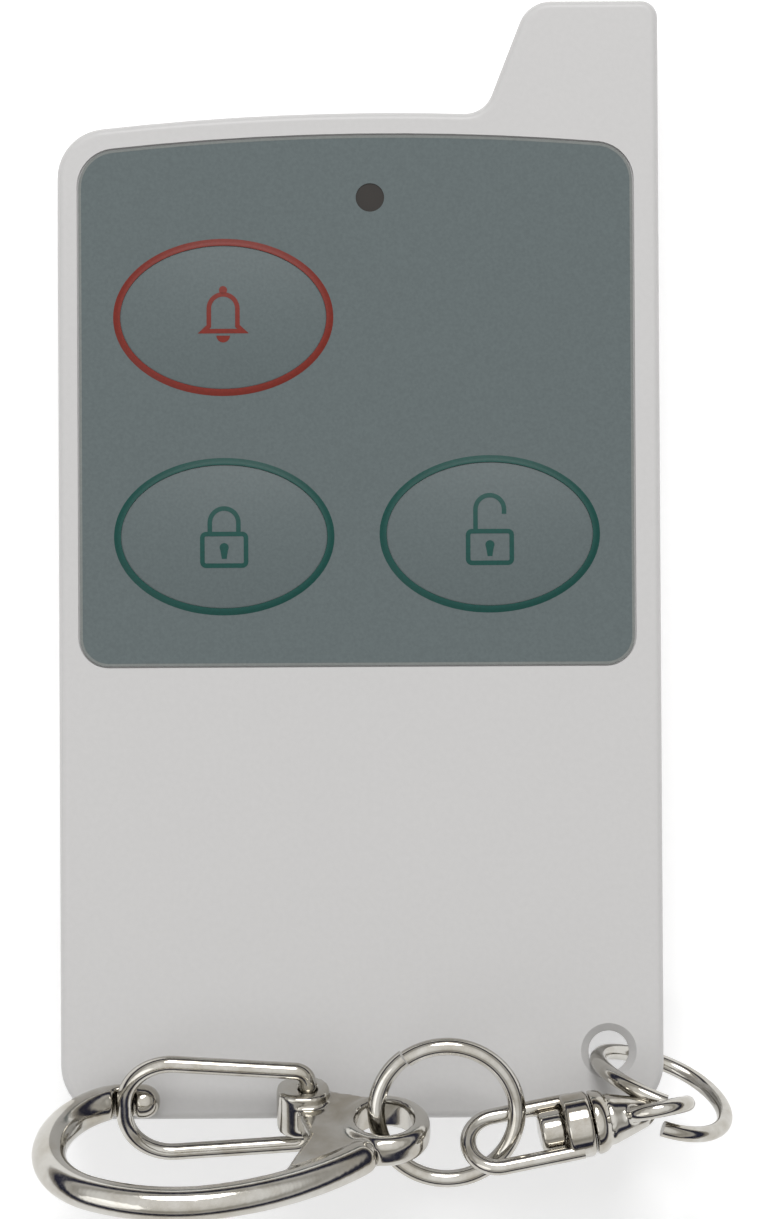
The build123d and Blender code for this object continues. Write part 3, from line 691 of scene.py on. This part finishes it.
# Pushers, switch stems and switch bodies
# Grey moulded pushers sit under the key tops and press the brown stems of the tactile
# switches, whose bases are black glass-filled plastic.
inner_grain_scale = 1800
inner_grain_depth = 0.010 * mm
pusher_colour = (0.50, 0.49, 0.46, 1)
switch_colour = (0.016, 0.016, 0.017, 1)
stem_colour = (0.070, 0.036, 0.022, 1)
pusher_grey = grained_plastic(
    "pusher_grey_abs",
    pusher_colour,
    roughness=0.45,
    scale=inner_grain_scale,
    depth=inner_grain_depth,
    blotch=0.03,
    speckle=0.03,
)
switch_black = grained_plastic(
    "switch_black_nylon",
    switch_colour,
    roughness=0.5,
    scale=inner_grain_scale,
    depth=inner_grain_depth,
    blotch=0.10,
    speckle=0.12,
)
stem_brown = grained_plastic(
    "switch_stem_brown",
    stem_colour,
    roughness=0.4,
    scale=inner_grain_scale,
    depth=inner_grain_depth,
    blotch=0.08,
    speckle=0.08,
)
dress(pusher_grey, "panic_pusher", "arm_pusher", "disarm_pusher")
dress(switch_black, "switch_bodies")
dress(stem_brown, "panic_stem", "arm_stem", "disarm_stem")


# Switch covers, leads and resonator can
# Pressed tin-plated steel over the switches, tinned copper leads on the encoder chip, and
# the drawn steel can of the resonator, all a little cloudy from the solder bath.
tin_bright = (0.66, 0.66, 0.64, 1)
tin_dull = (0.42, 0.42, 0.40, 1)
tarnish_detail = 5
tarnish_contrast = 0.6
tarnish_low, tarnish_high = 0.42, 0.72
scuff_scale = 1500
scuff_detail = 3
scuff_distortion = 1.5
scuff_low, scuff_high = 0.5, 0.8
scuff_roughness = 0.12
wave_detail = 1
wave_relief = 0.6


def plating_marks():
    """Node group: cloudy tarnish and fine scuffs as masks, the plating's waves as a normal."""
    group = bpy.data.node_groups.new("plating_marks", "ShaderNodeTree")
    for name in ("Cloud Scale", "Wave Scale", "Wave Depth"):
        group.interface.new_socket(name, in_out="INPUT", socket_type="NodeSocketFloat")
    for name in ("Tarnish", "Scuffs"):
        group.interface.new_socket(name, in_out="OUTPUT", socket_type="NodeSocketFloat")
    group.interface.new_socket("Normal", in_out="OUTPUT", socket_type="NodeSocketVector")
    start = group.nodes.new("NodeGroupInput")
    end = group.nodes.new("NodeGroupOutput")
    place = group.nodes.new("ShaderNodeTexCoord")
    cloud = group.nodes.new("ShaderNodeTexNoise")
    cloud.inputs["Detail"].default_value = tarnish_detail
    cloud.inputs["Roughness"].default_value = tarnish_contrast
    patches = group.nodes.new("ShaderNodeMapRange")
    patches.inputs["From Min"].default_value = tarnish_low
    patches.inputs["From Max"].default_value = tarnish_high
    scratch = group.nodes.new("ShaderNodeTexNoise")
    scratch.inputs["Scale"].default_value = scuff_scale
    scratch.inputs["Detail"].default_value = scuff_detail
    scratch.inputs["Distortion"].default_value = scuff_distortion
    scuff = group.nodes.new("ShaderNodeMapRange")
    scuff.inputs["From Min"].default_value = scuff_low
    scuff.inputs["From Max"].default_value = scuff_high
    wave = group.nodes.new("ShaderNodeTexNoise")
    wave.inputs["Detail"].default_value = wave_detail
    bump = group.nodes.new("ShaderNodeBump")
    bump.inputs["Strength"].default_value = wave_relief
    link = group.links.new
    for noise in (cloud, scratch, wave):
        link(place.outputs["Object"], noise.inputs["Vector"])
    link(start.outputs["Cloud Scale"], cloud.inputs["Scale"])
    link(start.outputs["Wave Scale"], wave.inputs["Scale"])
    link(start.outputs["Wave Depth"], bump.inputs["Distance"])
    link(cloud.outputs["Fac"], patches.inputs["Value"])
    link(scratch.outputs["Fac"], scuff.inputs["Value"])
    link(wave.outputs["Fac"], bump.inputs["Height"])
    link(patches.outputs["Result"], end.inputs["Tarnish"])
    link(scuff.outputs["Result"], end.inputs["Scuffs"])
    link(bump.outputs["Normal"], end.inputs["Normal"])
    return group


marks_group = plating_marks()


def plated_metal(name, bright, dull, roughness, cloud_scale, wave_scale, wave_depth):
    """Plated metal, bright where it is clean and duller in cloudy patches."""
    metal = bpy.data.materials.new(name)
    metal.use_nodes = True
    tree = metal.node_tree
    shader = tree.nodes["Principled BSDF"]
    shader.inputs["Metallic"].default_value = 1
    marks = tree.nodes.new("ShaderNodeGroup")
    marks.node_tree = marks_group
    marks.inputs["Cloud Scale"].default_value = cloud_scale
    marks.inputs["Wave Scale"].default_value = wave_scale
    marks.inputs["Wave Depth"].default_value = wave_depth
    tone = tree.nodes.new("ShaderNodeMix")
    tone.data_type = "RGBA"
    tone.inputs["A"].default_value = bright
    tone.inputs["B"].default_value = dull
    worn = tree.nodes.new("ShaderNodeMapRange")
    worn.inputs["To Min"].default_value = roughness
    worn.inputs["To Max"].default_value = roughness + scuff_roughness
    link = tree.links.new
    link(marks.outputs["Tarnish"], tone.inputs["Factor"])
    link(tone.outputs["Result"], shader.inputs["Base Color"])
    link(marks.outputs["Scuffs"], worn.inputs["Value"])
    link(worn.outputs["Result"], shader.inputs["Roughness"])
    link(marks.outputs["Normal"], shader.inputs["Normal"])
    return metal


tinned = plated_metal(
    "tinned_metal",
    tin_bright,
    tin_dull,
    roughness=0.28,
    cloud_scale=500,
    wave_scale=1200,
    wave_depth=0.01 * mm,
)
dress(tinned, "switch_covers", "encoder_leads", "saw_resonator")


# Status light and its window
# A red diffused light-emitting diode on the board, under a smoke-tinted light pipe that
# is pressed into the hole in the front wall.
window_colour = (0.026, 0.022, 0.019, 1)
led_colour = (0.45, 0.018, 0.014, 1)
led_clearness = 0.5
window_smoke = grained_plastic(
    "window_smoke_acrylic",
    window_colour,
    roughness=0.3,
    scale=900,
    depth=0.004 * mm,
    blotch=0.06,
    speckle=0.05,
    specular=0.3,
)
dress(window_smoke, "led_window")
led_red = grained_plastic(
    "led_red_epoxy",
    led_colour,
    roughness=0.18,
    scale=700,
    depth=0.002 * mm,
    blotch=0.08,
    speckle=0.04,
)
led_shader = led_red.node_tree.nodes["Principled BSDF"]
led_shader.inputs["Transmission Weight"].default_value = led_clearness
dress(led_red, "status_led")


# Circuit board
# Glass-epoxy board under green solder mask, through which the tracks show as paler lines. It
# is clamped between the posts of the two shells.
mask_green = (0.012, 0.090, 0.036, 1)
track_green = (0.030, 0.180, 0.072, 1)
track_scale = 330
track_stray = 0.35
track_full, track_end = 0.05, 0.09
track_relief = 0.4
track_height = 0.03 * mm
mask_roughness = 0.35
track_roughness = 0.25
board_green = bpy.data.materials.new("board_solder_mask")
board_green.use_nodes = True
board_tree = board_green.node_tree
board_shader = board_tree.nodes["Principled BSDF"]
board_place = board_tree.nodes.new("ShaderNodeTexCoord")
tracks = board_tree.nodes.new("ShaderNodeTexVoronoi")
tracks.feature = "DISTANCE_TO_EDGE"
tracks.inputs["Scale"].default_value = track_scale
tracks.inputs["Randomness"].default_value = track_stray
track_edge = board_tree.nodes.new("ShaderNodeMapRange")
track_edge.inputs["From Min"].default_value = track_full
track_edge.inputs["From Max"].default_value = track_end
track_edge.inputs["To Min"].default_value = 1
track_edge.inputs["To Max"].default_value = 0
track_tone = board_tree.nodes.new("ShaderNodeMix")
track_tone.data_type = "RGBA"
track_tone.inputs["A"].default_value = mask_green
track_tone.inputs["B"].default_value = track_green
track_bump = board_tree.nodes.new("ShaderNodeBump")
track_bump.inputs["Strength"].default_value = track_relief
track_bump.inputs["Distance"].default_value = track_height
mask_gloss = board_tree.nodes.new("ShaderNodeMapRange")
mask_gloss.inputs["To Min"].default_value = mask_roughness
mask_gloss.inputs["To Max"].default_value = track_roughness
board_tree.links.new(board_place.outputs["Object"], tracks.inputs["Vector"])
board_tree.links.new(tracks.outputs["Distance"], track_edge.inputs["Value"])
board_tree.links.new(track_edge.outputs["Result"], track_tone.inputs["Factor"])
board_tree.links.new(track_edge.outputs["Result"], track_bump.inputs["Height"])
board_tree.links.new(track_edge.outputs["Result"], mask_gloss.inputs["Value"])
board_tree.links.new(track_tone.outputs["Result"], board_shader.inputs["Base Color"])
board_tree.links.new(mask_gloss.outputs["Result"], board_shader.inputs["Roughness"])
board_tree.links.new(track_bump.outputs["Normal"], board_shader.inputs["Normal"])
dress(board_green, "circuit_board")


# Encoder chip, transistor and chip components
# Black epoxy packages with a matt moulded skin, and sand-coloured ceramic components, all
# soldered to the board.
epoxy_colour = (0.020, 0.020, 0.021, 1)
ceramic_colour = (0.33, 0.24, 0.15, 1)
epoxy_black = grained_plastic(
    "package_black_epoxy",
    epoxy_colour,
    roughness=0.55,
    scale=inner_grain_scale,
    depth=inner_grain_depth,
    blotch=0.10,
    speckle=0.20,
)
ceramic_sand = grained_plastic(
    "component_ceramic",
    ceramic_colour,
    roughness=0.4,
    scale=inner_grain_scale,
    depth=inner_grain_depth,
    blotch=0.15,
    speckle=0.10,
)
dress(epoxy_black, "encoder_chip", "rf_transistor")
dress(ceramic_sand, "chip_passives")


# Helical antenna
# Enamelled copper wire, wound as a coil that lies along the stub, with its leg soldered on
# the board.
copper_bright = (0.62, 0.27, 0.12, 1)
copper_dull = (0.36, 0.13, 0.06, 1)
enamel_coat = 0.6
copper_wire = plated_metal(
    "enamelled_copper",
    copper_bright,
    copper_dull,
    roughness=0.22,
    cloud_scale=700,
    wave_scale=900,
    wave_depth=0.006 * mm,
)
copper_shader = copper_wire.node_tree.nodes["Principled BSDF"]
copper_shader.inputs["Coat Weight"].default_value = enamel_coat
dress(copper_wire, "antenna_coil")


# Battery and its contacts
# A 12 V cell in a printed shrink sleeve that leaves both metal ends bare, between contacts
# of nickel-plated spring steel.
sleeve_edge = 1.1 * mm
band_width = 7 * mm
sleeve_blue = (0.018, 0.030, 0.095, 1)
sleeve_gold = (0.60, 0.42, 0.16, 1)
cell_low, cell_high = (Vector(corner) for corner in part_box("battery_cell"))
sleeve = grained_plastic(
    "cell_sleeve",
    sleeve_blue,
    roughness=0.3,
    scale=1200,
    depth=0.004 * mm,
    blotch=0.05,
    speckle=0.03,
)
sleeve_tree = sleeve.node_tree
sleeve_shader = sleeve_tree.nodes["Principled BSDF"]
plain_colour = sleeve_shader.inputs["Base Color"].links[0].from_socket
along = sleeve_tree.nodes.new("ShaderNodeTexCoord")
across = sleeve_tree.nodes.new("ShaderNodeSeparateXYZ")
sleeve_tree.links.new(along.outputs["Object"], across.inputs["Vector"])


def beyond(threshold, operation):
    """Mask that is 1 on one side of a place along the cell."""
    edge = sleeve_tree.nodes.new("ShaderNodeMath")
    edge.operation = operation
    edge.inputs[1].default_value = threshold
    sleeve_tree.links.new(across.outputs["X"], edge.inputs[0])
    return edge.outputs["Value"]


def painted_over(under, mask, colour):
    """Lays one colour over another where the mask is 1."""
    coat = sleeve_tree.nodes.new("ShaderNodeMix")
    coat.data_type = "RGBA"
    coat.inputs["B"].default_value = colour
    sleeve_tree.links.new(mask, coat.inputs["Factor"])
    sleeve_tree.links.new(under, coat.inputs["A"])
    return coat.outputs["Result"]


nub_side = beyond(cell_low.x + sleeve_edge, "LESS_THAN")
flat_side = beyond(cell_high.x - sleeve_edge / 2, "GREATER_THAN")
gold_band = beyond(cell_high.x - sleeve_edge / 2 - band_width, "GREATER_THAN")
bare_ends = sleeve_tree.nodes.new("ShaderNodeMath")
bare_ends.operation = "MAXIMUM"
sleeve_tree.links.new(nub_side, bare_ends.inputs[0])
sleeve_tree.links.new(flat_side, bare_ends.inputs[1])
banded = painted_over(plain_colour, gold_band, sleeve_gold)
ended = painted_over(banded, bare_ends.outputs["Value"], tin_bright)
sleeve_tree.links.new(ended, sleeve_shader.inputs["Base Color"])
sleeve_tree.links.new(bare_ends.outputs["Value"], sleeve_shader.inputs["Metallic"])
dress(sleeve, "battery_cell")

contact_bright = (0.68, 0.66, 0.61, 1)
contact_dull = (0.45, 0.43, 0.38, 1)
contact_steel = plated_metal(
    "contact_steel",
    contact_bright,
    contact_dull,
    roughness=0.2,
    cloud_scale=400,
    wave_scale=700,
    wave_depth=0.008 * mm,
)
dress(contact_steel, "battery_plus_contact", "battery_minus_contact")


# Case screws
# Two zinc-plated self-tapping screws that hold the shells together from the back. Each has a
# cross recess, which is cut into a copy of the plain head.
recess_half_length = 1.05 * mm
recess_half_width = 0.17 * mm
recess_depth = 0.55 * mm
recess_end_taper = 0.45
recess_side_taper = 0.8
facing_along = 0.9
zinc_bright = (0.58, 0.60, 0.62, 1)
zinc_dull = (0.34, 0.35, 0.36, 1)
screw_low, screw_high = (Vector(corner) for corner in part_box("case_screws"))
head_radius = (screw_high.y - screw_low.y) / 2


def recess_cutter(x, y, turned):
    """Tapered bar that enters the head from below."""
    bpy.ops.object.select_all(action="DESELECT")
    bpy.ops.mesh.primitive_cube_add(
        size=2,
        location=(x, y, screw_low.z),
        scale=(recess_half_length, recess_half_width, recess_depth),
    )
    cutter = bpy.context.object
    bpy.ops.object.transform_apply(location=True, rotation=True, scale=True)
    select_faces(cutter, lambda face: face.normal.z > facing_along)
    bpy.ops.transform.resize(value=(recess_end_taper, recess_side_taper, 1))
    bpy.ops.mesh.select_all(action="SELECT")
    if turned:
        bpy.ops.transform.rotate(
            value=math.pi / 2, orient_axis="Z", center_override=(x, y, screw_low.z)
        )
    bpy.ops.object.mode_set(mode="OBJECT")
    return cutter


screws = merged_copy("case_screws", "case_screws_cross_recess")
for side in (-1, 1):
    x = side * (screw_high.x - head_radius)
    y = (screw_low.y + screw_high.y) / 2
    for turned in (False, True):
        cutter = recess_cutter(x, y, turned)
        bpy.ops.object.select_all(action="DESELECT")
        screws.select_set(True)
        bpy.context.view_layer.objects.active = screws
        slotting = screws.modifiers.new("cross_recess", "BOOLEAN")
        slotting.operation = "DIFFERENCE"
        slotting.object = cutter
        bpy.ops.object.modifier_apply(modifier="cross_recess")
        bpy.data.objects.remove(cutter)
screw_zinc = plated_metal(
    "screw_zinc",
    zinc_bright,
    zinc_dull,
    roughness=0.25,
    cloud_scale=500,
    wave_scale=900,
    wave_depth=0.006 * mm,
)
screws.data.materials.append(screw_zinc)
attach(screws, "case")
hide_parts("case_screws")


# Key chain wire: corner ring, link ring, stirrup and gate
# Bent and cut from nickel-plated steel, with the plating gone a little brown in cloudy patches.
nickel_bright = (0.53, 0.515, 0.48, 1)
nickel_dull = (0.36, 0.33, 0.275, 1)
nickel_wire = plated_metal(
    "nickel_wire",
    nickel_bright,
    nickel_dull,
    roughness=0.09,
    cloud_scale=420,
    wave_scale=700,
    wave_depth=0.010 * mm,
)
dress(nickel_wire, "fob_ring", "link_ring", "swivel_stirrup", "hook_gate")


# Swivel eye
# Upset from one piece of the same nickelled steel: the shoulder flows into the root of the
# eye, which the solid has only as a slim neck, so a flare is grown over a copy of it.
flare_start = 2.2 * mm
flare_end = 4.7 * mm
flare_wide_radius = 1.75 * mm
flare_slim_radius = 0.95 * mm
flare_tip_length = 0.5 * mm
flare_tip_share = 0.55
flare_vertices = 64
swivel_voxel = 0.09 * mm
swivel_smoothing = 16
smoothing_step = 0.5
spin = next(joint for joint in frame["joints"] if joint["name"] == "swivel_spin")
spin_axis = Vector(spin["axis"])
collar_middle = Vector(spin["pos_m"])


def even_cast_surface(piece, voxel, smoothing):
    """Gives a piece one even skin and rounds its edges and inner corners over."""
    remesh = piece.modifiers.new("even_mesh", "REMESH")
    remesh.mode = "VOXEL"
    remesh.voxel_size = voxel
    bpy.ops.object.modifier_apply(modifier="even_mesh")
    soften = piece.modifiers.new("soft_edges", "SMOOTH")
    soften.factor = smoothing_step
    soften.iterations = smoothing
    bpy.ops.object.modifier_apply(modifier="soft_edges")
    bpy.ops.object.shade_smooth()


bpy.ops.object.select_all(action="DESELECT")
bpy.ops.mesh.primitive_cone_add(
    vertices=flare_vertices,
    radius1=flare_wide_radius,
    radius2=flare_slim_radius,
    depth=flare_end - flare_start,
    location=collar_middle + spin_axis * (flare_start + flare_end) / 2,
    rotation=spin_axis.to_track_quat("Z", "Y").to_euler(),
)
flare = bpy.context.object
bpy.ops.object.transform_apply(location=True, rotation=True, scale=True)
select_faces(flare, lambda face: face.normal.dot(spin_axis) > facing_along)
bpy.ops.mesh.extrude_region_move(TRANSFORM_OT_translate={"value": spin_axis * flare_tip_length})
bpy.ops.transform.resize(value=(flare_tip_share, flare_tip_share, flare_tip_share))
bpy.ops.object.mode_set(mode="OBJECT")
forging = merged_copy("swivel_eye", "swivel_eye_forging")
flare.select_set(True)
bpy.ops.object.join()
even_cast_surface(forging, swivel_voxel, swivel_smoothing)
forging.data.materials.append(nickel_wire)
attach(forging, "swivel_eye")
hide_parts("swivel_eye")


# Hook body
# Zinc casting under the same nickel, with softer edges and a slight orange peel. A copy of
# the solid is rounded over where bar, web and eye run together, as the mould does.
hook_voxel = 0.11 * mm
hook_smoothing = 34
nickel_cast = plated_metal(
    "nickel_casting",
    nickel_bright,
    nickel_dull,
    roughness=0.11,
    cloud_scale=260,
    wave_scale=330,
    wave_depth=0.035 * mm,
)
casting = merged_copy("hook_body", "hook_casting")
even_cast_surface(casting, hook_voxel, hook_smoothing)
casting.data.materials.append(nickel_cast)
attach(casting, "hook_body")
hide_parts("hook_body")

bpy.ops.object.select_all(action="DESELECT")
